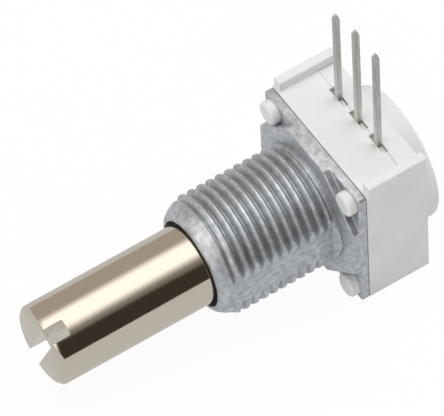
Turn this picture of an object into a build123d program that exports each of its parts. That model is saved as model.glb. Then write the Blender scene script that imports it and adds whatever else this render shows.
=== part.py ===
from build123d import *

import os
from math import cos, radians, sin

# Square panel-mounted rotary potentiometer with a threaded bush, a slotted shaft and three pins.
# Millimetres. The shaft lies along Y and points to -Y, the pins point to +Z, and the origin is on
# the shaft axis in the mounting face, which is the front face of the flange pad.

os.makedirs("parts", exist_ok=True)

# ---------------------------------------------------------------- driving dimensions
# Shaft
SHAFT_D = 6.35
JOURNAL_STEP = 0.175        # the shaft is that much thinner in radius where it runs in the bush
JOURNAL_START = 0.2         # in front of the bush's nose
SHAFT_REACH = 22.8          # mounting face to the tip
TIP_CHAMFER = 0.35
SLOT_WIDTH = 1.3
SLOT_DEPTH = 1.5
SLOT_ANGLE = 65.0           # direction of the slot at mid travel, from +X towards +Z
SHAFT_FIT = 0.03            # radial running clearance in the bush

# Bush
BUSH_D = 9.525              # major diameter of the 3/8-32 thread
BUSH_LENGTH = 10.0
NOSE_D = 7.4                # flat ring at the nose
NOSE_TAPER = 1.2            # length of the taper behind the nose
NOSE_BORE_D = 6.9           # open mouth of the bore, around the shaft
NOSE_BORE_DEPTH = 0.9
FLATS_ACROSS = 8.24         # the two flats, square to X
COLLAR_LENGTH = 0.5         # plain round collar that sits in the panel hole
UNDERCUT_WIDTH = 0.3        # between the last thread and the collar
UNDERCUT_D = 8.5

# Flange, cast in one with the bush
FLANGE_W = 12.3             # along X
FLANGE_H = 12.2             # along Z
FLANGE_T = 1.25
CORNER_T = 0.67             # thickness left at the four cut corners
CORNER_REACH = 8.45         # |x| + |z| at which the pad's corners are cut
PAD_BEVEL = 0.25            # bevel of the pad's top and bottom edges
FLANGE_CORNER_R = 0.35
WASHER_SEAT_DEPTH = 0.5

# Housing
HOUSING_BACK = 6.4          # from the mounting face
BOTTOM_GAP = 0.1            # the housing stops short of the flange's lower edge
WALL = 0.8                  # side walls, and the width of the lips
LIP_HEIGHT = 0.85
LIP_SETBACK = 0.2           # the lips start behind the housing's front
EDGE_R = 0.15
PARTING = 4.44              # plane in which the rear cover meets the housing
TOP_PARTING = 4.72          # the same seam on top, half way through the pins
TOP_WALL = 0.85
TERMINAL_RELIEF = 0.3       # room for the rivets in front of the substrate
ROTOR_CAVITY_D = 9.6
PEG_D = 1.9
PEG_PITCH = 9.9
PEG_PROUD = 0.71            # beyond the thin flange corner
PEG_EDGE_R = 0.25
PEG_FIT = 0.03
STOP_HALF_ANGLE = 21.0
STOP_INNER_D = 7.5
STOP_FRONT_GAP = 0.35       # from the retaining ring to the stop
STOP_LENGTH = 1.4

# Rear cover
COVER_FIT = 0.03
CAP_D = 10.7                # round boss on the back
CAP_T = 1.65
CAP_EDGE_R = 0.3
CORE_D = 6.0                # moulding core inside the cover
CORE_DROP = 1.6             # its centre below the axis
CORE_WALL = 1.0

# Moving inner pieces
WASHER_T = 0.3
WASHER_SHAFT_GAP = 0.05
WASHER_SEAT_GAP = 0.05
RING_GAP = 0.05             # axial play between the washer and the retaining ring
RING_T = 0.4
RING_D = 8.4
RING_GROOVE_D = 5.2
RING_OPENING = 30.0         # half angle of its gap
SEAL_GROOVE_D = 4.9
SEAL_WIRE_D = 0.54
SEAL_GROOVE_PLAY = 0.12
SEAL_POSITION = 1.4         # centre of the seal in front of the mounting face
SHOULDER = 0.5              # shaft land behind the retaining ring
SPINDLE_D = 4.4
SPINDLE_FLAT = 1.6          # distance from the axis to the drive flat
ROTOR_D = 6.8
ROTOR_T = 1.2
LUG_D = 8.9
LUG_HALF_ANGLE = 9.0
SPRING_T = 0.15
SPRING_BORE_D = 4.8
SPRING_OUTER_D = 6.4
BRUSH_GAP = 0.05            # between a brush and what it rides on
BRUSH_WIDTH = 0.5

# Element
SUBSTRATE_W = 9.8
SUBSTRATE_H = 9.8
SUBSTRATE_T = 0.65
SUBSTRATE_FIT = 0.05
PRINT_T = 0.05
TRACK_OUTER_D = 8.8
TRACK_INNER_D = 6.9
TRACK_GAP_ANGLE = 27.0      # half angle without track, at the pins' side
COLLECTOR_OUTER_D = 5.6
COLLECTOR_INNER_D = 4.2
LEAD_WIDTH = 0.8
PAD_WIDTH = 1.9
PAD_BOTTOM = 3.3
PAD_TOP = 4.5

# Terminals
PIN_PITCH = 2.54
PIN_WIDTH = 0.44
PIN_T = 0.42
PIN_TIP = 16.65             # height of the tips above the axis
FIRST_PIN_SHORTER = 0.88    # the first pin is cropped shorter than the other two
TIP_TAPER = 0.42
TIP_TAPER_ANGLE = 16.0
TAB_WIDTH = 1.9
TAB_TOP = 5.9               # top of the wide tab, just below the mouth of its slot
TAB_BOTTOM = 3.3
TAB_FIT = 0.03
RIVET_D = 0.7
RIVET_HEAD_D = 1.1
RIVET_HEAD_T = 0.2
RIVET_HEIGHT = 4.1          # above the axis
SEAL_POT_DEPTH = 0.95
SEAL_POT_BOTTOM = 2.9
SEAL_POT_TOP = 5.2

# ---------------------------------------------------------------- places worked out from them
shaft_r = SHAFT_D / 2
journal_r = shaft_r - JOURNAL_STEP
bore_r = journal_r + SHAFT_FIT
journal_front = -BUSH_LENGTH - JOURNAL_START
corner_front = FLANGE_T - CORNER_T
washer_front = FLANGE_T - WASHER_SEAT_DEPTH
ring_front = washer_front + WASHER_T + RING_GAP
ring_back = ring_front + RING_T
rotor_front = ring_back + SHOULDER
rotor_back = rotor_front + ROTOR_T
spring_back = rotor_back + SPRING_T
substrate_front = PARTING - SUBSTRATE_T
track_front = substrate_front - PRINT_T
brush_back = track_front - BRUSH_GAP
housing_top = FLANGE_H / 2
housing_bottom = -FLANGE_H / 2 + BOTTOM_GAP
pocket_half_w = FLANGE_W / 2 - WALL
pocket_bottom = housing_bottom + WALL
cap_back = HOUSING_BACK + CAP_T
pot_half_w = PIN_PITCH + TAB_WIDTH / 2 + 0.3
track_mid_r = (TRACK_OUTER_D + TRACK_INNER_D) / 4
collector_mid_r = (COLLECTOR_OUTER_D + COLLECTOR_INNER_D) / 4
PIN_SIDE = 90.0             # direction of the pins, in degrees from +X
LUG_SIDE = 270.0            # direction of the rotor's lug at mid travel


def front_plane(y):
    """Sketch plane square to the shaft at y, with X across and Z up."""
    return Plane.XZ.offset(-y)


def wedge(direction, half_angle, reach, mode=Mode.ADD):
    """Triangle from the axis, opening by half_angle each side of direction."""
    low = radians(direction - half_angle)
    high = radians(direction + half_angle)
    Polygon((0, 0), (reach * cos(low), reach * sin(low)), (reach * cos(high), reach * sin(high)),
            align=None, mode=mode)


def ring(outer_d, inner_d):
    """Flat ring on the axis, in the current sketch."""
    Circle(outer_d / 2)
    Circle(inner_d / 2, mode=Mode.SUBTRACT)


def box_between(x0, x1, y0, y1, z0, z1, mode=Mode.ADD):
    """Box between two corners, in the current part."""
    with Locations(((x0 + x1) / 2, (y0 + y1) / 2, (z0 + z1) / 2)):
        Box(x1 - x0, y1 - y0, z1 - z0, mode=mode)


def save(builder, label):
    """Label a finished piece and write it."""
    builder.part.label = label
    export_step(builder.part, f"parts/{label}.step")


# ---------------------------------------------------------------- bush and flange
undercut_front = -COLLAR_LENGTH - UNDERCUT_WIDTH
with BuildPart() as bush_flange:
    with BuildSketch(front_plane(corner_front)):
        RectangleRounded(FLANGE_W, FLANGE_H, FLANGE_CORNER_R)
    extrude(amount=-CORNER_T)
    with BuildSketch(front_plane(0)) as pad:
        Rectangle(FLANGE_W, FLANGE_H)
        with BuildSketch(mode=Mode.INTERSECT):
            Rectangle(CORNER_REACH * 2 ** 0.5, CORNER_REACH * 2 ** 0.5, rotation=45)
    extrude(amount=-corner_front)
    with BuildSketch(Plane.YZ) as pad_bevels:
        for side in (1, -1):
            Polygon((0, side * FLANGE_H / 2), (PAD_BEVEL, side * FLANGE_H / 2),
                    (0, side * (FLANGE_H / 2 - PAD_BEVEL)), align=None)
    extrude(amount=FLANGE_W, both=True, mode=Mode.SUBTRACT)
    with BuildPart(mode=Mode.PRIVATE) as bush:
        with BuildSketch(Plane.XY):
            Polygon((0, 0), (BUSH_D / 2, 0), (BUSH_D / 2, -COLLAR_LENGTH),
                    (UNDERCUT_D / 2, -COLLAR_LENGTH), (UNDERCUT_D / 2, undercut_front),
                    (BUSH_D / 2, undercut_front), (BUSH_D / 2, -BUSH_LENGTH + NOSE_TAPER),
                    (NOSE_D / 2, -BUSH_LENGTH), (0, -BUSH_LENGTH), align=None)
        revolve(axis=Axis.Y)
        for side in (1, -1):
            box_between(min(side * FLATS_ACROSS / 2, side * BUSH_D),
                        max(side * FLATS_ACROSS / 2, side * BUSH_D),
                        -BUSH_LENGTH, -COLLAR_LENGTH, -BUSH_D, BUSH_D, mode=Mode.SUBTRACT)
    add(bush.part)
    with BuildSketch(front_plane(-BUSH_LENGTH)):
        Circle(bore_r)
    extrude(amount=-(BUSH_LENGTH + FLANGE_T), mode=Mode.SUBTRACT)
    with BuildSketch(front_plane(-BUSH_LENGTH)):
        Circle(NOSE_BORE_D / 2)
    extrude(amount=-NOSE_BORE_DEPTH, mode=Mode.SUBTRACT)
    with BuildSketch(front_plane(washer_front)):
        Circle(RING_D / 2 + 0.4)
    extrude(amount=-WASHER_SEAT_DEPTH, mode=Mode.SUBTRACT)
    with BuildSketch(front_plane(corner_front)):
        with GridLocations(PEG_PITCH, PEG_PITCH, 2, 2):
            Circle(PEG_D / 2 + PEG_FIT)
    extrude(amount=-CORNER_T, mode=Mode.SUBTRACT)
save(bush_flange, "bush_flange")

# ---------------------------------------------------------------- shaft and what is fixed to it
seal_half = SEAL_WIRE_D / 2 + SEAL_GROOVE_PLAY
with BuildPart() as shaft:
    with BuildSketch(Plane.XY):
        Polygon((0, -SHAFT_REACH), (shaft_r - TIP_CHAMFER, -SHAFT_REACH),
                (shaft_r, -SHAFT_REACH + TIP_CHAMFER), (shaft_r, journal_front),
                (journal_r, journal_front), (journal_r, -SEAL_POSITION - seal_half),
                (SEAL_GROOVE_D / 2, -SEAL_POSITION - seal_half),
                (SEAL_GROOVE_D / 2, -SEAL_POSITION + seal_half),
                (journal_r, -SEAL_POSITION + seal_half), (journal_r, ring_front),
                (RING_GROOVE_D / 2, ring_front), (RING_GROOVE_D / 2, ring_back),
                (journal_r, ring_back), (journal_r, rotor_front), (SPINDLE_D / 2, rotor_front),
                (SPINDLE_D / 2, rotor_back), (0, rotor_back), align=None)
    revolve(axis=Axis.Y)
    with BuildSketch(front_plane(-SHAFT_REACH)):
        Rectangle(SHAFT_D * 2, SLOT_WIDTH, rotation=SLOT_ANGLE)
    extrude(amount=-SLOT_DEPTH, mode=Mode.SUBTRACT)
    box_between(-SPINDLE_D, SPINDLE_D, rotor_front, rotor_back, SPINDLE_FLAT, SPINDLE_D,
                mode=Mode.SUBTRACT)
save(shaft, "shaft")

with BuildPart() as shaft_seal:
    with BuildSketch(Plane.XY):
        with Locations((SEAL_GROOVE_D / 2 + SEAL_WIRE_D / 2, -SEAL_POSITION)):
            Circle(SEAL_WIRE_D / 2)
    revolve(axis=Axis.Y)
save(shaft_seal, "shaft_seal")

with BuildPart() as thrust_washer:
    with BuildSketch(front_plane(washer_front)):
        Circle(RING_D / 2 + 0.4 - WASHER_SEAT_GAP)
        Circle(journal_r + WASHER_SHAFT_GAP, mode=Mode.SUBTRACT)
    extrude(amount=-WASHER_T)
save(thrust_washer, "thrust_washer")

with BuildPart() as retaining_ring:
    with BuildSketch(front_plane(ring_front)):
        ring(RING_D, RING_GROOVE_D)
        wedge(LUG_SIDE, RING_OPENING, RING_D, mode=Mode.SUBTRACT)
    extrude(amount=-RING_T)
save(retaining_ring, "retaining_ring")

# ---------------------------------------------------------------- rotor and wiper
with BuildPart() as rotor:
    with BuildSketch(front_plane(rotor_front)):
        Circle(ROTOR_D / 2)
        with BuildSketch(mode=Mode.ADD):
            Circle(LUG_D / 2)
            with BuildSketch(mode=Mode.INTERSECT):
                wedge(LUG_SIDE, LUG_HALF_ANGLE, LUG_D)
        with BuildSketch(mode=Mode.SUBTRACT):
            Circle(SPINDLE_D / 2)
            with Locations((0, SPINDLE_FLAT + SPINDLE_D / 2)):
                Rectangle(SPINDLE_D * 2, SPINDLE_D, mode=Mode.SUBTRACT)
    extrude(amount=-ROTOR_T)
save(rotor, "rotor")

with BuildPart() as wiper_spring:
    with BuildSketch(front_plane(rotor_back)):
        ring(SPRING_OUTER_D, SPRING_BORE_D)
        with Locations((0, -(SPRING_OUTER_D / 2 + track_mid_r) / 2)):
            Rectangle(BRUSH_WIDTH * 2, track_mid_r - SPRING_BORE_D / 2 + BRUSH_WIDTH)
    extrude(amount=-SPRING_T)
save(wiper_spring, "wiper_spring")

with BuildPart() as wiper_brushes:
    with BuildSketch(front_plane(spring_back)):
        with Locations((0, -track_mid_r), (0, -(SPRING_BORE_D / 2 + BRUSH_WIDTH / 2))):
            Rectangle(BRUSH_WIDTH * 2, BRUSH_WIDTH)
    extrude(amount=-(brush_back - spring_back))
save(wiper_brushes, "wiper_brushes")

# ---------------------------------------------------------------- housing
with BuildPart() as housing:
    box_between(-FLANGE_W / 2, FLANGE_W / 2, FLANGE_T, HOUSING_BACK, housing_bottom, housing_top)
    for side in (1, -1):
        outer = side * FLANGE_W / 2
        inner = side * pocket_half_w
        box_between(min(inner, outer), max(inner, outer), FLANGE_T + LIP_SETBACK, HOUSING_BACK,
                    housing_top, housing_top + LIP_HEIGHT)
    fillet(housing.edges().filter_by(Axis.Y).group_by(Axis.Z)[0], EDGE_R)
    fillet(housing.edges().filter_by(Axis.Y).group_by(Axis.Z)[-1], EDGE_R)
    with BuildSketch(front_plane(FLANGE_T)):
        Circle(ROTOR_CAVITY_D / 2)
    extrude(amount=-(substrate_front - FLANGE_T), mode=Mode.SUBTRACT)
    box_between(-SUBSTRATE_W / 2 - SUBSTRATE_FIT, SUBSTRATE_W / 2 + SUBSTRATE_FIT,
                substrate_front, PARTING,
                -SUBSTRATE_H / 2 - SUBSTRATE_FIT, SUBSTRATE_H / 2 + SUBSTRATE_FIT,
                mode=Mode.SUBTRACT)
    box_between(-pocket_half_w, pocket_half_w, PARTING, HOUSING_BACK, pocket_bottom,
                housing_top + LIP_HEIGHT, mode=Mode.SUBTRACT)
    box_between(-pot_half_w, pot_half_w, substrate_front - TERMINAL_RELIEF, substrate_front,
                SEAL_POT_BOTTOM, RIVET_HEIGHT + RIVET_D, mode=Mode.SUBTRACT)
    box_between(-pocket_half_w, pocket_half_w, PARTING, TOP_PARTING, housing_top - TOP_WALL,
                housing_top)
    for place in (-1, 0, 1):
        box_between(place * PIN_PITCH - TAB_WIDTH / 2 - TAB_FIT,
                    place * PIN_PITCH + TAB_WIDTH / 2 + TAB_FIT,
                    PARTING, TOP_PARTING, housing_top - TOP_WALL, housing_top, mode=Mode.SUBTRACT)
    with BuildSketch(front_plane(ring_back + STOP_FRONT_GAP)):
        Circle(ROTOR_CAVITY_D / 2 + WALL / 2)
        Circle(STOP_INNER_D / 2, mode=Mode.SUBTRACT)
        with BuildSketch(mode=Mode.INTERSECT):
            wedge(PIN_SIDE, STOP_HALF_ANGLE, ROTOR_CAVITY_D)
    extrude(amount=-STOP_LENGTH)
    with BuildPart(mode=Mode.PRIVATE) as pegs:
        with BuildSketch(front_plane(corner_front - PEG_PROUD)):
            with GridLocations(PEG_PITCH, PEG_PITCH, 2, 2):
                Circle(PEG_D / 2)
        extrude(amount=-(FLANGE_T - corner_front + PEG_PROUD))
        fillet(pegs.faces().sort_by(Axis.Y).group_by(Axis.Y)[0].edges(), PEG_EDGE_R)
    add(pegs.part)
save(housing, "housing")

# ---------------------------------------------------------------- element
with BuildPart() as resistive_track:
    with BuildSketch(front_plane(track_front)):
        ring(TRACK_OUTER_D, TRACK_INNER_D)
        wedge(PIN_SIDE, TRACK_GAP_ANGLE, TRACK_OUTER_D, mode=Mode.SUBTRACT)
    extrude(amount=-PRINT_T)
save(resistive_track, "resistive_track")

with BuildPart() as collector_ring:
    with BuildSketch(front_plane(track_front)):
        lead_top = RIVET_HEIGHT + RIVET_D
        lead_foot = collector_mid_r
        with Locations((0, (lead_top + lead_foot) / 2)):
            Rectangle(LEAD_WIDTH, lead_top - lead_foot)
        Circle(COLLECTOR_OUTER_D / 2)
        Circle(COLLECTOR_INNER_D / 2, mode=Mode.SUBTRACT)
        with Locations((0, RIVET_HEIGHT)):
            Circle(RIVET_D / 2, mode=Mode.SUBTRACT)
    extrude(amount=-PRINT_T)
save(collector_ring, "collector_ring")

with BuildPart() as end_pads:
    with BuildSketch(front_plane(track_front)):
        pad_middle = (PAD_BOTTOM + PAD_TOP) / 2
        with Locations((-PIN_PITCH, pad_middle), (PIN_PITCH, pad_middle)):
            Rectangle(PAD_WIDTH, PAD_TOP - PAD_BOTTOM)
        with Locations((-PIN_PITCH, RIVET_HEIGHT), (PIN_PITCH, RIVET_HEIGHT)):
            Circle(RIVET_D / 2, mode=Mode.SUBTRACT)
    extrude(amount=-PRINT_T)
    add(resistive_track.part, mode=Mode.SUBTRACT)
save(end_pads, "end_pads")

rivet_places = [(place * PIN_PITCH, RIVET_HEIGHT) for place in (-1, 0, 1)]
with BuildPart() as element_substrate:
    with BuildSketch(front_plane(substrate_front)):
        Rectangle(SUBSTRATE_W, SUBSTRATE_H)
        with Locations(*rivet_places):
            Circle(RIVET_D / 2, mode=Mode.SUBTRACT)
    extrude(amount=-SUBSTRATE_T)
save(element_substrate, "element_substrate")

# ---------------------------------------------------------------- terminals
pins = []
rivets = []
for number, place in enumerate((-1, 0, 1), start=1):
    pin_x = place * PIN_PITCH
    tip_height = PIN_TIP - (FIRST_PIN_SHORTER if number == 1 else 0)
    with BuildPart() as terminal_pin:
        box_between(pin_x - TAB_WIDTH / 2, pin_x + TAB_WIDTH / 2, PARTING, PARTING + PIN_T,
                    TAB_BOTTOM, TAB_TOP)
        box_between(pin_x - PIN_WIDTH / 2, pin_x + PIN_WIDTH / 2, PARTING, PARTING + PIN_T,
                    TAB_TOP, tip_height - TIP_TAPER)
        with BuildSketch(Plane.XY.offset(tip_height - TIP_TAPER)):
            with Locations((pin_x, PARTING + PIN_T / 2)):
                Rectangle(PIN_WIDTH, PIN_T)
        extrude(amount=TIP_TAPER, taper=TIP_TAPER_ANGLE)
        with BuildSketch(front_plane(PARTING)):
            with Locations((pin_x, RIVET_HEIGHT)):
                Circle(RIVET_D / 2)
        extrude(amount=-PIN_T, mode=Mode.SUBTRACT)
    save(terminal_pin, f"terminal_pin_{number}")
    pins.append(terminal_pin.part)
    with BuildPart() as terminal_rivet:
        with BuildSketch(front_plane(track_front)):
            with Locations((pin_x, RIVET_HEIGHT)):
                Circle(RIVET_D / 2)
        extrude(amount=-(PARTING + PIN_T - track_front))
        with BuildSketch(front_plane(PARTING + PIN_T)):
            with Locations((pin_x, RIVET_HEIGHT)):
                Circle(RIVET_HEAD_D / 2)
        extrude(amount=-RIVET_HEAD_T)
    save(terminal_rivet, f"terminal_rivet_{number}")
    rivets.append(terminal_rivet.part)

with BuildPart() as terminal_seal:
    box_between(-pot_half_w, pot_half_w, PARTING, PARTING + SEAL_POT_DEPTH, SEAL_POT_BOTTOM,
                SEAL_POT_TOP)
    for embedded in pins + rivets:
        add(embedded, mode=Mode.SUBTRACT)
save(terminal_seal, "terminal_seal")

# ---------------------------------------------------------------- rear cover
cover_half_w = pocket_half_w - COVER_FIT
cover_bottom = pocket_bottom + COVER_FIT
with BuildPart() as rear_cover:
    with BuildSketch(front_plane(HOUSING_BACK)):
        Circle(CAP_D / 2)
    extrude(amount=-CAP_T)
    fillet(rear_cover.faces().sort_by(Axis.Y)[-1].edges(), CAP_EDGE_R)
    box_between(-cover_half_w, cover_half_w, PARTING, HOUSING_BACK, cover_bottom, housing_top)
    box_between(-pot_half_w, pot_half_w, PARTING, PARTING + SEAL_POT_DEPTH, SEAL_POT_BOTTOM,
                SEAL_POT_TOP, mode=Mode.SUBTRACT)
    box_between(-pocket_half_w, pocket_half_w, PARTING, TOP_PARTING + COVER_FIT,
                housing_top - TOP_WALL - COVER_FIT, housing_top, mode=Mode.SUBTRACT)
    for place in (-1, 0, 1):
        box_between(place * PIN_PITCH - TAB_WIDTH / 2 - TAB_FIT,
                    place * PIN_PITCH + TAB_WIDTH / 2 + TAB_FIT,
                    PARTING, PARTING + PIN_T + TAB_FIT, SEAL_POT_TOP, housing_top,
                    mode=Mode.SUBTRACT)
    with BuildSketch(front_plane(PARTING)):
        with Locations((0, -CORE_DROP)):
            Circle(CORE_D / 2)
    extrude(amount=-(cap_back - CORE_WALL - PARTING), mode=Mode.SUBTRACT)
save(rear_cover, "rear_cover")
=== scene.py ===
"""Square panel potentiometer: finishes, fine thread, edge rounding and studio."""
import logging
import math
from dataclasses import dataclass, field
from enum import Enum

import bmesh
import bpy
from mathutils import Matrix, Vector

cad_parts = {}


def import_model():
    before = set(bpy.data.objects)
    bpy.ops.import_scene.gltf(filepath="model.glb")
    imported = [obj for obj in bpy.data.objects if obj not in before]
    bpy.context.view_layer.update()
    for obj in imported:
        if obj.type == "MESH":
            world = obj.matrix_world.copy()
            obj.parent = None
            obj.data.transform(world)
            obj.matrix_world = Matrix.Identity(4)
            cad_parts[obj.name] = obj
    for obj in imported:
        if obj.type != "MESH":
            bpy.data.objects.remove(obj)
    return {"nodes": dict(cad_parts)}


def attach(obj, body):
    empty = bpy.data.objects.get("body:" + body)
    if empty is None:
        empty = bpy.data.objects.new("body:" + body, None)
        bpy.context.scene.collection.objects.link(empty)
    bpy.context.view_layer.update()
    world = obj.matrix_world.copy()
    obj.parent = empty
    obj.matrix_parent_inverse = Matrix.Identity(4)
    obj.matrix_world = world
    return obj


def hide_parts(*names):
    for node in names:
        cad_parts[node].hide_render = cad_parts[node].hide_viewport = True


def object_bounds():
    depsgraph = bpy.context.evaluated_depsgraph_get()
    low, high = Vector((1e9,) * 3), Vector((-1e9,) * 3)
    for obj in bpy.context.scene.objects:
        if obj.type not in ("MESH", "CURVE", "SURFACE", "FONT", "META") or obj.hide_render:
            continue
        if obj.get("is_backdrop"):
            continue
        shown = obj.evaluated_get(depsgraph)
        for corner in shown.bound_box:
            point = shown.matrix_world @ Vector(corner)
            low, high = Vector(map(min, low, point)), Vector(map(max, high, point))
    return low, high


log = logging.getLogger("potentiometer")
MM = 0.001


class Side(Enum):
    """Which side of the shaft's plane a feature lies on."""

    RIGHT = 1
    LEFT = -1


# ------------------------------------------------------------------ finishes


class Nodes:
    """Short hand for wiring one material's nodes."""

    def __init__(self, name: str) -> None:
        """Start an empty node material called name."""
        self.material = bpy.data.materials.new(name)
        self.material.use_nodes = True
        self.tree = self.material.node_tree
        self.shader = self.tree.nodes["Principled BSDF"]
        self.coords = self.tree.nodes.new("ShaderNodeTexCoord").outputs["Object"]

    def link(self, source: bpy.types.NodeSocket, target: bpy.types.NodeSocket) -> None:
        """Join two sockets."""
        self.tree.links.new(source, target)

    def mapped(self, scale: tuple[float, float, float]) -> bpy.types.NodeSocket:
        """Object coordinates stretched by scale.

        Args:
            scale: cells per metre along X, Y and Z.

        Returns:
            The mapped vector socket.
        """
        node = self.tree.nodes.new("ShaderNodeMapping")
        node.inputs["Scale"].default_value = scale
        self.link(self.coords, node.inputs["Vector"])
        return node.outputs["Vector"]

    def noise(self, vector: bpy.types.NodeSocket, detail: float = 3.0) -> bpy.types.NodeSocket:
        """Noise over an already scaled vector.

        Args:
            vector: the coordinates to read.
            detail: octaves of detail.

        Returns:
            The grey value socket.
        """
        node = self.tree.nodes.new("ShaderNodeTexNoise")
        node.inputs["Scale"].default_value = 1.0
        node.inputs["Detail"].default_value = detail
        self.link(vector, node.inputs["Vector"])
        return node.outputs["Fac"]

    def ramp(
        self,
        value: bpy.types.NodeSocket,
        low: tuple[float, float, float],
        high: tuple[float, float, float],
        start: float = 0.35,
        end: float = 0.65,
    ) -> bpy.types.NodeSocket:
        """Colour that runs from low to high as value goes from start to end.

        Args:
            value: the grey value to follow.
            low: colour at and below start.
            high: colour at and above end.
            start: value where the run begins.
            end: value where the run stops.

        Returns:
            The colour socket.
        """
        node = self.tree.nodes.new("ShaderNodeValToRGB")
        node.color_ramp.elements[0].position = start
        node.color_ramp.elements[1].position = end
        node.color_ramp.elements[0].color = (*low, 1.0)
        node.color_ramp.elements[1].color = (*high, 1.0)
        self.link(value, node.inputs["Fac"])
        return node.outputs["Color"]

    def painted_corner_shade(
        self, unshaded_colour: bpy.types.NodeSocket, corner_shade_colour: tuple[float, float, float], reach: float
    ) -> bpy.types.NodeSocket:
        """Paint shade into a colour in corners and grooves, darker where the next surface is near.

        Args:
            unshaded_colour: the colour of the open surface, before the painted shade.
            corner_shade_colour: the painted shade colour deep in a corner.
            reach: how near the next surface is for a corner to count, in millimetres.

        Returns:
            The colour socket.
        """
        corner = self.tree.nodes.new("ShaderNodeAmbientOcclusion")
        corner.inputs["Distance"].default_value = reach * MM
        corner.samples = 8
        mix = self.tree.nodes.new("ShaderNodeMix")
        mix.data_type = "RGBA"
        colours = [socket for socket in mix.inputs if socket.type == "RGBA"]
        colours[0].default_value = (*corner_shade_colour, 1.0)
        self.link(unshaded_colour, colours[1])
        self.link(corner.outputs["AO"], mix.inputs["Factor"])
        return next(socket for socket in mix.outputs if socket.type == "RGBA")

    def bump(self, height: bpy.types.NodeSocket, depth: float, strength: float) -> None:
        """Drive the shader's normal from a height.

        Args:
            height: the grey height socket.
            depth: bump distance in metres.
            strength: how much of the bump is used.
        """
        node = self.tree.nodes.new("ShaderNodeBump")
        node.inputs["Distance"].default_value = depth
        node.inputs["Strength"].default_value = strength
        if self.shader.inputs["Normal"].links:
            self.link(self.shader.inputs["Normal"].links[0].from_socket, node.inputs["Normal"])
        self.link(height, node.inputs["Height"])
        self.link(node.outputs["Normal"], self.shader.inputs["Normal"])

    def settle(self, **values: float) -> None:
        """Set constant values on the shader's own sockets."""
        for label, value in values.items():
            self.shader.inputs[label.replace("_", " ")].default_value = value


@dataclass(frozen=True)
class CastZinc:
    """Tumbled die-cast zinc, blue grey, softly mottled, with painted shade in corners and thread
    roots.
    """

    name: str = "cast_zinc"
    dark: tuple[float, float, float] = (0.46, 0.49, 0.53)
    pale: tuple[float, float, float] = (0.74, 0.77, 0.81)
    # painted shade colour for corners, recesses and thread roots
    corner_shade_colour: tuple[float, float, float] = (0.30, 0.32, 0.34)

    def make(self) -> bpy.types.Material:
        """Return the finished material."""
        n = Nodes(self.name)
        mottle = n.noise(n.mapped((2100, 2100, 2100)), 5.0)
        unshaded_colour = n.ramp(mottle, self.dark, self.pale, 0.30, 0.70)
        # painted shade: the mottled colour darkens in thread roots, corners and recesses, by ambient
        # occlusion
        n.link(n.painted_corner_shade(unshaded_colour, self.corner_shade_colour, 1.1), n.shader.inputs["Base Color"])
        rough = n.ramp(n.noise(n.mapped((1500, 1500, 1500)), 2.0), (0.36,) * 3, (0.52,) * 3)
        n.link(rough, n.shader.inputs["Roughness"])
        n.bump(n.noise(n.mapped((5000, 5000, 5000)), 3.0), 0.012 * MM, 0.35)
        n.bump(n.noise(n.mapped((1100, 1100, 1100)), 3.0), 0.04 * MM, 0.35)
        n.settle(Metallic=0.85)
        return n.material


@dataclass(frozen=True)
class BrightNickel:
    """Turned and nickel-plated shaft with faint rings around it."""

    name: str = "bright_nickel"
    low: tuple[float, float, float] = (0.725, 0.665, 0.575)
    high: tuple[float, float, float] = (0.745, 0.685, 0.595)

    def make(self) -> bpy.types.Material:
        """Return the finished material."""
        n = Nodes(self.name)
        rings = n.noise(n.mapped((40, 14000, 40)), 2.0)
        n.link(n.ramp(rings, self.low, self.high), n.shader.inputs["Base Color"])
        rough = n.ramp(n.noise(n.mapped((500, 3000, 500)), 3.0), (0.06,) * 3, (0.11,) * 3)
        n.link(rough, n.shader.inputs["Roughness"])
        n.bump(rings, 0.0006 * MM, 0.4)
        n.settle(Metallic=1.0)
        return n.material


@dataclass(frozen=True)
class SatinPlastic:
    """Moulded plastic with a very fine spark texture."""

    name: str
    colour: tuple[float, float, float]
    roughness: float = 0.45
    grain: float = 0.006

    def make(self) -> bpy.types.Material:
        """Return the finished material."""
        n = Nodes(self.name)
        low = tuple(0.95 * c for c in self.colour)
        shade = n.ramp(n.noise(n.mapped((350, 350, 350)), 4.0), low, self.colour)
        n.link(shade, n.shader.inputs["Base Color"])
        spread = (self.roughness - 0.05,) * 3, (self.roughness + 0.07,) * 3
        n.link(n.ramp(n.noise(n.mapped((2500,) * 3), 2.0), *spread), n.shader.inputs["Roughness"])
        n.bump(n.noise(n.mapped((9000,) * 3), 2.0), self.grain * MM, 0.5)
        return n.material


@dataclass(frozen=True)
class DrawnMetal:
    """Drawn or rolled metal with fine lines along one axis."""

    name: str
    low: tuple[float, float, float]
    high: tuple[float, float, float]
    cells: tuple[float, float, float] = (9000, 9000, 500)
    roughness: float = 0.32

    def make(self) -> bpy.types.Material:
        """Return the finished material."""
        n = Nodes(self.name)
        lines = n.noise(n.mapped(self.cells), 4.0)
        n.link(n.ramp(lines, self.low, self.high), n.shader.inputs["Base Color"])
        spread = (self.roughness - 0.06,) * 3, (self.roughness + 0.08,) * 3
        n.link(n.ramp(n.noise(n.mapped((1800,) * 3), 3.0), *spread), n.shader.inputs["Roughness"])
        n.bump(lines, 0.004 * MM, 0.6)
        n.settle(Metallic=1.0)
        return n.material


# ------------------------------------------------------------------ mesh work


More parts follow.
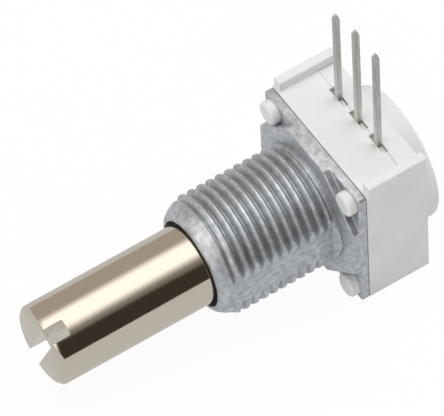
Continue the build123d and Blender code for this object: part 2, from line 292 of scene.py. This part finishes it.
class Workshop:
    """Mesh operations shared by the sub-assemblies."""

    @staticmethod
    def turned(profile: list[tuple[float, float]], steps: int = 128) -> bmesh.types.BMesh:
        """Spin a profile about the shaft axis.

        Args:
            profile: (radius, y) in millimetres, from one end to the other.
            steps: facets around.

        Returns:
            A closed bmesh when the profile begins and ends on the axis or meets itself.
        """
        bm = bmesh.new()
        verts = [bm.verts.new((r * MM, y * MM, 0)) for r, y in profile]
        edges = [bm.edges.new(pair) for pair in zip(verts, verts[1:])]
        if profile[0][0] > 0:
            edges.append(bm.edges.new((verts[-1], verts[0])))
        bmesh.ops.spin(
            bm, geom=verts + edges, axis=(0, 1, 0), cent=(0, 0, 0), angle=2 * math.pi,
            steps=steps, use_merge=True, use_normal_flip=False,
        )
        Workshop.tidy(bm)
        return bm

    @staticmethod
    def block(low: tuple[float, float, float], high: tuple[float, float, float]) -> bmesh.types.BMesh:
        """Box between two corners in millimetres."""
        bm = bmesh.new()
        size = [(b - a) * MM for a, b in zip(low, high)]
        middle = [(a + b) / 2 * MM for a, b in zip(low, high)]
        place = Matrix.Translation(middle) @ Matrix.Diagonal((*size, 1.0))
        bmesh.ops.create_cube(bm, size=1.0, matrix=place)
        return bm

    @staticmethod
    def tidy(bm: bmesh.types.BMesh) -> None:
        """Merge doubles and turn every face outwards."""
        bmesh.ops.remove_doubles(bm, verts=bm.verts[:], dist=1e-7)
        bmesh.ops.dissolve_degenerate(bm, dist=1e-8, edges=bm.edges[:])
        bmesh.ops.recalc_face_normals(bm, faces=bm.faces[:])

    @staticmethod
    def piece(name: str, bm: bmesh.types.BMesh) -> bpy.types.Object:
        """Turn a bmesh into a linked object and free it."""
        mesh = bpy.data.meshes.new(name)
        bm.to_mesh(mesh)
        bm.free()
        obj = bpy.data.objects.new(name, mesh)
        bpy.context.scene.collection.objects.link(obj)
        return obj

    @staticmethod
    def combine(obj: bpy.types.Object, tool: bpy.types.Object, operation: str) -> None:
        """Apply a boolean to obj and remove the tool.

        Args:
            obj: the piece that changes.
            tool: the solid that cuts, joins or limits it.
            operation: DIFFERENCE, UNION or INTERSECT.
        """
        modifier = obj.modifiers.new("combine", "BOOLEAN")
        modifier.operation = operation
        modifier.solver = "EXACT"
        modifier.object = tool
        Workshop.bake(obj)
        bpy.data.objects.remove(tool)

    @staticmethod
    def bake(obj: bpy.types.Object) -> None:
        """Apply an object's modifiers to its mesh."""
        graph = bpy.context.evaluated_depsgraph_get()
        mesh = bpy.data.meshes.new_from_object(obj.evaluated_get(graph))
        obj.modifiers.clear()
        obj.data = mesh

    @staticmethod
    def round_edges(obj: bpy.types.Object, width: float, segments: int = 3) -> None:
        """Round the sharp edges of a piece.

        Args:
            obj: the piece.
            width: width of the rounding in millimetres.
            segments: facets across it.
        """
        modifier = obj.modifiers.new("round", "BEVEL")
        modifier.width = width * MM
        modifier.segments = segments
        modifier.limit_method = "ANGLE"
        modifier.angle_limit = math.radians(40)
        modifier.use_clamp_overlap = True
        Workshop.bake(obj)

    @staticmethod
    def shade(obj: bpy.types.Object, limit: float = 32.0) -> None:
        """Smooth shading with creases sharper than limit degrees kept."""
        bm = bmesh.new()
        bm.from_mesh(obj.data)
        for face in bm.faces:
            face.smooth = True
        for edge in bm.edges:
            edge.smooth = len(edge.link_faces) == 2 and edge.calc_face_angle() < math.radians(limit)
        bm.to_mesh(obj.data)
        bm.free()

    @staticmethod
    def finish(
        obj: bpy.types.Object, body: str, slot: str, material: bpy.types.Material, *nodes: str
    ) -> bpy.types.Object:
        """Dress a new piece and hand it to its body.

        Args:
            obj: the piece.
            body: the body it moves with.
            slot: the record's material slot; not used.
            material: its finish.
            nodes: the CAD nodes it stands for.

        Returns:
            The same object.
        """
        obj.data.materials.clear()
        obj.data.materials.append(material)
        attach(obj, body)
        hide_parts(*nodes)
        log.info("%s: %d faces", obj.name, len(obj.data.polygons))
        return obj


# ------------------------------------------------------------------ sub-assemblies


@dataclass
class Casting:
    """Zinc flange with its threaded bush, in millimetres."""

    half_width: float = 6.15
    half_height: float = 6.1
    thickness: float = 1.25
    corner_front: float = 0.58
    corner_reach: float = 8.45
    bore: float = 3.03
    seat: float = 4.6
    seat_front: float = 0.75
    peg_offset: float = 4.95
    peg_radius: float = 0.97
    crest: float = 4.74
    root: float = 4.27
    pitch: float = 0.79375
    lead_in: float = 1.39
    length: float = 10.0
    flat: float = 4.12
    collar: float = 0.5
    steps: int = 96

    def thread_rod(self) -> bpy.types.Object:
        """Return a plain rod with the thread rolled on it."""
        p, crest, root = self.pitch, self.crest, self.root
        soft = 0.05
        tooth = [
            (root, 0.0), (root, 0.10 * p), (root + soft, 0.17 * p), (crest - soft, 0.40 * p),
            (crest, 0.46 * p), (crest, 0.64 * p), (crest - soft, 0.70 * p),
            (root + soft, 0.93 * p), (root, p),
        ]
        turns = math.ceil(self.length / p) + 2
        bm = bmesh.new()
        verts = [bm.verts.new((r * MM, (y - self.length - self.lead_in) * MM, 0)) for r, y in tooth]
        edges = [bm.edges.new(pair) for pair in zip(verts, verts[1:])]
        bmesh.ops.spin(
            bm, geom=verts + edges, axis=(0, -1, 0), cent=(0, 0, 0),
            dvec=(0, p * MM / self.steps, 0), angle=2 * math.pi * turns,
            steps=self.steps * turns, use_merge=False,
        )
        bmesh.ops.remove_doubles(bm, verts=bm.verts[:], dist=2e-6)
        for y, clear in ((-self.length - 0.1, "inner"), (-self.collar, "outer")):
            geom = bm.verts[:] + bm.edges[:] + bm.faces[:]
            cut = bmesh.ops.bisect_plane(
                bm, geom=geom, dist=1e-8, plane_co=(0, y * MM, 0), plane_no=(0, 1, 0),
                clear_inner=clear == "inner", clear_outer=clear == "outer",
            )
            rim = [e for e in cut["geom_cut"] if isinstance(e, bmesh.types.BMEdge)]
            bmesh.ops.edgeloop_fill(bm, edges=[e for e in rim if e.is_boundary])
        Workshop.tidy(bm)
        return Workshop.piece("bush", bm)

    def bush(self) -> bpy.types.Object:
        """Return the threaded bush with nose, flats, collar and bore."""
        rod = self.thread_rod()
        nose = [
            (0, -self.length), (3.52, -self.length), (3.75, -self.length + 0.05),
            (4.0, -self.length + 0.22), (4.31, -self.length + 0.65),
            (4.51, -self.length + 1.1), (4.66, -self.length + 1.4),
            (4.9, -self.length + 1.6), (4.9, 0.2), (0, 0.2),
        ]
        Workshop.combine(rod, Workshop.piece("nose", Workshop.turned(nose)), "INTERSECT")
        collar = [(0, -self.collar - 0.05), (4.45, -self.collar - 0.05), (4.66, -self.collar + 0.1),
                  (4.7, -self.collar + 0.2), (4.7, 0.1), (0, 0.1)]
        Workshop.combine(rod, Workshop.piece("collar", Workshop.turned(collar)), "UNION")
        for side in Side:
            cutter = Workshop.block((self.flat, -self.length - 1, -6), (7, -self.collar + 0.1, 6))
            for vert in cutter.verts:
                if vert.co.x < 5 * MM and vert.co.y > -1 * MM:
                    vert.co.y -= 0.1 * MM
                elif vert.co.y > -1 * MM:
                    vert.co.y += 2.0 * MM
            if side is Side.LEFT:
                bmesh.ops.scale(cutter, vec=(-1, 1, 1), verts=cutter.verts[:])
                bmesh.ops.recalc_face_normals(cutter, faces=cutter.faces[:])
            Workshop.combine(rod, Workshop.piece("flat", cutter), "DIFFERENCE")
        bore = [
            (0, -self.length - 1), (3.55, -self.length - 1), (3.48, -self.length + 0.1),
            (3.42, -self.length + 0.25), (3.42, -self.length + 0.9),
            (self.bore, -self.length + 1.1), (self.bore, 1), (0, 1),
        ]
        Workshop.combine(rod, Workshop.piece("bore", Workshop.turned(bore)), "DIFFERENCE")
        Workshop.shade(rod, 38)
        return rod

    def flange(self) -> bpy.types.Object:
        """Return the plate with its raised pad, peg holes and seat."""
        w, h = self.half_width, self.half_height
        plate = Workshop.block((-w, self.corner_front, -h), (w, self.thickness, h))
        upright = [e for e in plate.edges if abs(e.verts[0].co.y - e.verts[1].co.y) > 1e-6]
        bmesh.ops.bevel(plate, geom=upright, offset=0.35 * MM, segments=5, profile=0.5,
                        affect="EDGES", material=-1)
        pad = Workshop.block((-w, 0, -h), (w, self.corner_front + 0.2, h))
        upright = [e for e in pad.edges if abs(e.verts[0].co.y - e.verts[1].co.y) > 1e-6]
        bmesh.ops.bevel(pad, geom=upright, offset=(w + h - self.corner_reach) * MM, segments=1,
                        profile=0.5, affect="EDGES", material=-1)
        flange = Workshop.piece("flange", plate)
        Workshop.combine(flange, Workshop.piece("pad", pad), "UNION")
        self.flatten(flange)
        Workshop.round_edges(flange, 0.16)
        bore = Workshop.turned([(0, -1), (self.bore, -1), (self.bore, self.seat_front),
                                (self.seat, self.seat_front), (self.seat, 2), (0, 2)])
        Workshop.combine(flange, Workshop.piece("bore", bore), "DIFFERENCE")
        for side in Side:
            for level in Side:
                hole = bmesh.new()
                place = Vector((side.value * self.peg_offset, 1, level.value * self.peg_offset)) * MM
                bmesh.ops.create_cone(
                    hole, cap_ends=True, segments=48, radius1=self.peg_radius * MM,
                    radius2=self.peg_radius * MM, depth=4 * MM,
                    matrix=Matrix.Translation(place) @ Matrix.Rotation(math.pi / 2, 4, "X"),
                )
                Workshop.combine(flange, Workshop.piece("hole", hole), "DIFFERENCE")
        Workshop.shade(flange)
        return flange

    @staticmethod
    def flatten(obj: bpy.types.Object) -> None:
        """Join coplanar faces so that only real edges are left."""
        bm = bmesh.new()
        bm.from_mesh(obj.data)
        bmesh.ops.remove_doubles(bm, verts=bm.verts[:], dist=1e-7)
        bmesh.ops.dissolve_limit(bm, angle_limit=math.radians(1), verts=bm.verts[:],
                                 edges=bm.edges[:])
        bm.to_mesh(obj.data)
        bm.free()

    def build(self) -> None:
        """Make the casting's two pieces and dress them."""
        zinc = CastZinc().make()
        Workshop.finish(self.bush(), "body", "zinc", zinc, "bush_flange")
        Workshop.finish(self.flange(), "body", "zinc", zinc, "bush_flange")


@dataclass
class Shaft:
    """Turned shaft, in millimetres."""

    radius: float = 3.175
    journal: float = 3.0
    journal_front: float = -10.1
    tip: float = -22.8
    chamfer: float = 0.35
    slot_width: float = 1.3
    slot_depth: float = 1.5
    slot_angle: float = 65.0

    def build(self) -> None:
        """Make the shaft with its slot and grooves, and dress it."""
        r, j, tip = self.radius, self.journal, self.tip
        profile = [
            (0, tip), (r - self.chamfer, tip), (r - self.chamfer + 0.08, tip + 0.03),
            (r - 0.03, tip + self.chamfer - 0.08), (r, tip + self.chamfer),
            (r, self.journal_front), (j, self.journal_front), (j, -1.79), (2.45, -1.79),
            (2.45, -1.01), (j, -1.01), (j, 1.1), (2.6, 1.1), (2.6, 1.5), (j, 1.5), (j, 2.0),
            (2.2, 2.0), (2.2, 3.2), (0, 3.2),
        ]
        shaft = Workshop.piece("turned_shaft", Workshop.turned(profile, 192))
        half = self.slot_width / 2
        slot = Workshop.block((-6, tip - 1, -half), (6, tip + self.slot_depth, half))
        deep = [e for e in slot.edges
                if all(v.co.y > (tip + 0.5) * MM for v in e.verts)
                and abs(e.verts[0].co.x - e.verts[1].co.x) > 1e-4]
        bmesh.ops.bevel(slot, geom=deep, offset=0.12 * MM, segments=3, profile=0.5,
                        affect="EDGES", material=-1)
        bmesh.ops.rotate(slot, verts=slot.verts[:], cent=(0, 0, 0),
                         matrix=Matrix.Rotation(-math.radians(self.slot_angle), 3, "Y"))
        Workshop.combine(shaft, Workshop.piece("slot", slot), "DIFFERENCE")
        drive = Workshop.block((-4, 2.0, 1.6), (4, 4.0, 4))
        Workshop.combine(shaft, Workshop.piece("drive_flat", drive), "DIFFERENCE")
        Workshop.shade(shaft, 30)
        Workshop.finish(shaft, "rotating", "shaft_metal", BrightNickel().make(), "shaft")


@dataclass
class Mouldings:
    """Housing, cover and pins: the CAD shapes with rounded edges."""

    nodes: dict[str, bpy.types.Object]
    widths: dict[str, float] = field(
        default_factory=lambda: {
            "housing": 0.12, "rear_cover": 0.10, "terminal_pin_1": 0.05,
            "terminal_pin_2": 0.05, "terminal_pin_3": 0.05,
        }
    )

    def rounded(self, node: str, width: float) -> bpy.types.Object:
        """Return a copy of a CAD node with rounded edges.

        Args:
            node: the CAD node's name.
            width: width of the rounding in millimetres.

        Returns:
            The new piece.
        """
        bm = bmesh.new()
        bm.from_mesh(self.nodes[node].data)
        bmesh.ops.remove_doubles(bm, verts=bm.verts[:], dist=1e-7)
        bmesh.ops.dissolve_limit(bm, angle_limit=math.radians(0.5), verts=bm.verts[:],
                                 edges=bm.edges[:])
        obj = Workshop.piece(f"moulded_{node}", bm)
        Workshop.round_edges(obj, width)
        Workshop.shade(obj)
        return obj

    def build(self) -> None:
        """Round and dress the mouldings and the pins."""
        white = SatinPlastic("white_moulding", (0.785, 0.81, 0.83)).make()
        tin = DrawnMetal("tinned_wire", (0.50, 0.50, 0.48), (0.66, 0.66, 0.64)).make()
        for node, width in self.widths.items():
            pin = node.startswith("terminal")
            Workshop.finish(self.rounded(node, width), "body", "tin" if pin else "white_plastic",
                            tin if pin else white, node)


@dataclass
class Inside:
    """Finishes of the pieces that stay inside the housing."""

    nodes: dict[str, bpy.types.Object]

    def build(self) -> None:
        """Give each inner CAD node its material."""
        steel = DrawnMetal("spring_steel", (0.45, 0.45, 0.45), (0.6, 0.6, 0.6), (3000, 500, 3000))
        bronze = DrawnMetal("spring_bronze", (0.52, 0.36, 0.16), (0.68, 0.50, 0.26), (600, 6000, 6000))
        silver = DrawnMetal("silver_print", (0.62, 0.62, 0.60), (0.78, 0.78, 0.76), (2000,) * 3, 0.45)
        rivet = DrawnMetal("rivet_tin", (0.52, 0.52, 0.50), (0.66, 0.66, 0.64), (4000,) * 3)
        finishes = {
            "shaft_seal": SatinPlastic("seal_rubber", (0.03, 0.03, 0.03), 0.6, 0.01),
            "thrust_washer": steel, "retaining_ring": steel,
            "rotor": SatinPlastic("rotor_plastic", (0.07, 0.07, 0.08), 0.5),
            "wiper_spring": bronze, "wiper_brushes": bronze,
            "element_substrate": SatinPlastic("ceramic", (0.80, 0.78, 0.72), 0.7, 0.02),
            "resistive_track": SatinPlastic("carbon_print", (0.03, 0.03, 0.03), 0.55, 0.012),
            "collector_ring": silver, "end_pads": silver,
            "terminal_rivet_1": rivet, "terminal_rivet_2": rivet, "terminal_rivet_3": rivet,
            "terminal_seal": SatinPlastic("cast_epoxy", (0.62, 0.52, 0.32), 0.25, 0.004),
        }
        made: dict[str, bpy.types.Material] = {}
        for node, finish in finishes.items():
            if finish.name not in made:
                made[finish.name] = finish.make()
            for slot in self.nodes[node].material_slots:
                slot.material = made[finish.name]
            log.info("%s: %s", node, finish.name)


# ------------------------------------------------------------------ studio


@dataclass
class Studio:
    """Floor, soft light and camera."""

    floor_level: float
    azimuth: float = 59.79
    elevation: float = 53.888
    roll: float = -3.674
    distance: float = 500.0
    lens: float = 560.35
    shift_right: float = 6.1445
    shift_up: float = 0.5823

    def seen_white(self, tree: bpy.types.NodeTree, strength: float) -> tuple:
        """Return (factor, emission) for rays that should see a white ground.

        Args:
            tree: the node tree to add to.
            strength: brightness in reflections.

        Returns:
            The camera-or-glossy factor socket and the emission socket.
        """
        path = tree.nodes.new("ShaderNodeLightPath")
        either = tree.nodes.new("ShaderNodeMath")
        either.operation = "MAXIMUM"
        tree.links.new(path.outputs["Is Glossy Ray"], either.inputs[0])
        tree.links.new(path.outputs["Is Transmission Ray"], either.inputs[1])
        both = tree.nodes.new("ShaderNodeMath")
        both.operation = "MAXIMUM"
        tree.links.new(either.outputs[0], both.inputs[0])
        tree.links.new(path.outputs["Is Camera Ray"], both.inputs[1])
        level = tree.nodes.new("ShaderNodeMapRange")
        level.inputs["To Min"].default_value = strength
        level.inputs["To Max"].default_value = 1.0
        tree.links.new(path.outputs["Is Camera Ray"], level.inputs["Value"])
        return both.outputs[0], level.outputs["Result"]

    def floor(self) -> None:
        """Lay the pale floor."""
        bm = bmesh.new()
        bmesh.ops.create_grid(bm, x_segments=1, y_segments=1, size=1.5,
                              matrix=Matrix.Translation((0, 0, self.floor_level)))
        floor = Workshop.piece("floor", bm)
        material = bpy.data.materials.new("pale_floor")
        material.use_nodes = True
        tree = material.node_tree
        base = tree.nodes["Principled BSDF"]
        base.inputs["Base Color"].default_value = (0.86, 0.86, 0.86, 1)
        base.inputs["Roughness"].default_value = 0.9
        factor, strength = self.seen_white(tree, 0.62)
        glow = tree.nodes.new("ShaderNodeEmission")
        glow.inputs["Color"].default_value = (1.0, 1.0, 1.0, 1)
        tree.links.new(strength, glow.inputs["Strength"])
        part = tree.nodes.new("ShaderNodeMath")
        part.operation = "MULTIPLY"
        part.inputs[1].default_value = 0.95
        tree.links.new(factor, part.inputs[0])
        mix = tree.nodes.new("ShaderNodeMixShader")
        tree.links.new(part.outputs[0], mix.inputs["Fac"])
        tree.links.new(base.outputs[0], mix.inputs[1])
        tree.links.new(glow.outputs[0], mix.inputs[2])
        clear = tree.nodes.new("ShaderNodeBsdfTransparent")
        under = tree.nodes.new("ShaderNodeNewGeometry")
        open_below = tree.nodes.new("ShaderNodeMixShader")
        tree.links.new(under.outputs["Backfacing"], open_below.inputs["Fac"])
        tree.links.new(mix.outputs[0], open_below.inputs[1])
        tree.links.new(clear.outputs[0], open_below.inputs[2])
        tree.links.new(open_below.outputs[0], tree.nodes["Material Output"].inputs["Surface"])
        floor.data.materials.append(material)
        floor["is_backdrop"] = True

    def world(self) -> None:
        """Surround the object with a soft room: a bright band overhead, dark on the right."""
        world = bpy.data.worlds.new("studio")
        bpy.context.scene.world = world
        world.use_nodes = True
        tree = world.node_tree
        room = tree.nodes["Background"]
        coords = tree.nodes.new("ShaderNodeTexCoord")
        axes = tree.nodes.new("ShaderNodeSeparateXYZ")
        tree.links.new(coords.outputs["Generated"], axes.inputs[0])
        place = tree.nodes.new("ShaderNodeMapRange")
        place.inputs["From Min"].default_value = -1.0
        tree.links.new(axes.outputs["X"], place.inputs["Value"])
        ramp = tree.nodes.new("ShaderNodeValToRGB")
        ramp.color_ramp.interpolation = "EASE"
        brown, pale, dark = (0.31, 0.275, 0.24), (1.0, 0.975, 0.94), (0.034, 0.027, 0.021)
        levels = ((0.0, brown), (0.18, brown), (0.36, pale), (0.58, pale),
                  (0.79, (0.17, 0.155, 0.14)), (0.88, dark))
        stops = ramp.color_ramp.elements
        while len(stops) < len(levels):
            stops.new(0.5)
        for stop, (where, colour) in zip(stops, levels):
            stop.position = where
            stop.color = (*colour, 1)
        tree.links.new(place.outputs["Result"], ramp.inputs["Fac"])
        tree.links.new(ramp.outputs["Color"], room.inputs["Color"])
        room.inputs["Strength"].default_value = 1.5
        white = tree.nodes.new("ShaderNodeBackground")
        path = tree.nodes.new("ShaderNodeLightPath")
        mix = tree.nodes.new("ShaderNodeMixShader")
        tree.links.new(path.outputs["Is Camera Ray"], mix.inputs["Fac"])
        tree.links.new(room.outputs[0], mix.inputs[1])
        tree.links.new(white.outputs[0], mix.inputs[2])
        tree.links.new(mix.outputs[0], tree.nodes["World Output"].inputs["Surface"])

    def lamp(self, name: str, place: tuple[float, float, float], size: float, watts: float) -> None:
        """Hang a square soft box that looks at the object.

        Args:
            name: the lamp's name.
            place: where it hangs, in metres.
            size: its side in metres.
            watts: its power.
        """
        data = bpy.data.lights.new(name, "AREA")
        data.size = size
        data.energy = watts
        lamp = bpy.data.objects.new(name, data)
        bpy.context.scene.collection.objects.link(lamp)
        lamp.location = place
        lamp.visible_glossy = False
        lamp.rotation_euler = Vector(place).to_track_quat("Z", "Y").to_euler()

    def camera(self) -> None:
        """Place the camera."""
        az, el, roll = (math.radians(v) for v in (self.azimuth, self.elevation, self.roll))
        back = Vector((math.sin(az) * math.cos(el), -math.cos(az) * math.cos(el), math.sin(el)))
        level = Vector((math.cos(az), math.sin(az), 0))
        rise = back.cross(level)
        right = math.cos(roll) * level + math.sin(roll) * rise
        up = math.cos(roll) * rise - math.sin(roll) * level
        data = bpy.data.cameras.new("camera")
        data.sensor_width = 36
        data.lens = self.lens
        data.clip_start = 0.01
        camera = bpy.data.objects.new("camera", data)
        bpy.context.scene.collection.objects.link(camera)
        turn = Matrix((right, up, back)).transposed().to_4x4()
        place = (self.distance * back - self.shift_right * right - self.shift_up * up) * MM
        camera.matrix_world = Matrix.Translation(place) @ turn
        bpy.context.scene.camera = camera

    def build(self) -> None:
        """Set the whole studio up."""
        bpy.context.scene.view_settings.view_transform = "Standard"
        self.floor()
        self.world()
        self.lamp("overhead", (-0.02, 0.25, 0.75), 0.42, 0.9)
        self.lamp("side", (0.7, -0.3, 0.35), 0.4, 1.0)
        self.camera()


def main() -> None:
    """Build the potentiometer and its studio."""
    logging.basicConfig(level=logging.INFO, format="%(name)s %(message)s")
    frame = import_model()
    size = [list(corner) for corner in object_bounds()]
    Casting().build()
    Shaft().build()
    Mouldings(frame["nodes"]).build()
    Inside(frame["nodes"]).build()
    Studio(floor_level=size[0][2]).build()


if __name__ == "__main__":
    main()
